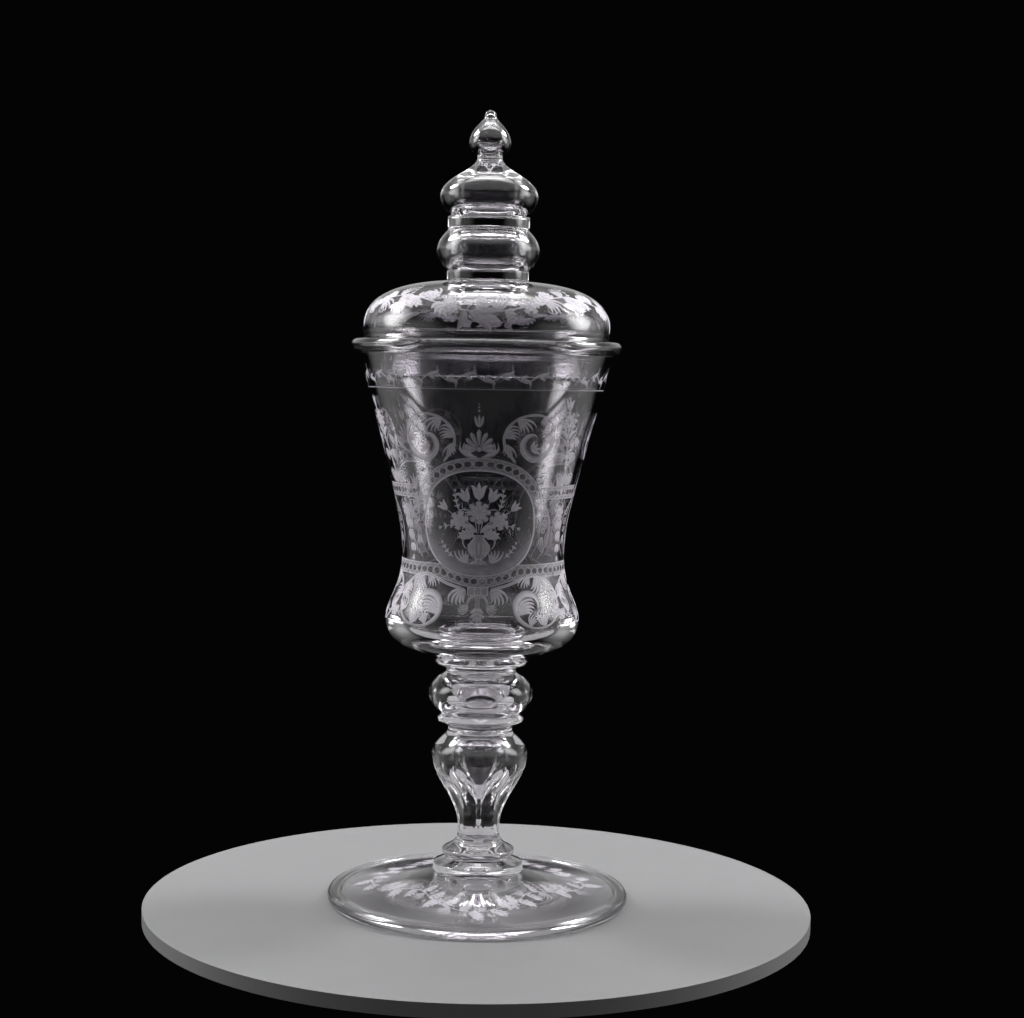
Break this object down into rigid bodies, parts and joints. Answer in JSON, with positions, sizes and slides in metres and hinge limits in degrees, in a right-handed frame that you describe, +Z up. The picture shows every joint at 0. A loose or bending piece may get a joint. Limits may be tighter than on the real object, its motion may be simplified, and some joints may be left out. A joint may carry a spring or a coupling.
{
  "type": "pokal goblet with cover",
  "caption": "Tall clear-glass covered goblet: flaring waisted bowl on a knopped baluster stem and wide foot, with a domed lift-off cover and ball finial, wheel-engraved all round.",
  "frame": {"origin": "centre of the foot's standing ring, on the table", "axes": "+Z up the axis of the goblet, towards the finial; -Y towards the viewer of the main medallion"},
  "size_m": [0.136, 0.136, 0.3545],
  "materials": {
    "clear_glass": "clear polished, faint cool grey tint",
    "engraved_glass": "matt wheel-engraved"
  },
  "bodies": {
    "goblet": {"foot": "clear_glass", "low_collar": "clear_glass", "up_collar": "clear_glass", "baluster": "clear_glass", "knop_collar": "clear_glass", "knop": "clear_glass", "bowl_collar": "clear_glass", "bowl": "clear_glass"},
    "lid": {"cover": "clear_glass", "cover_collar": "clear_glass", "cover_knop": "clear_glass", "finial_collar": "clear_glass", "onion": "clear_glass", "neck_ring": "clear_glass", "ball": "clear_glass"}
  },
  "joints": [
    {"name": "cover_lift", "type": "slide", "parent": "goblet", "child": "lid", "axis": [0, 0, 1], "range_m": [0, 0.06]}
  ]
}
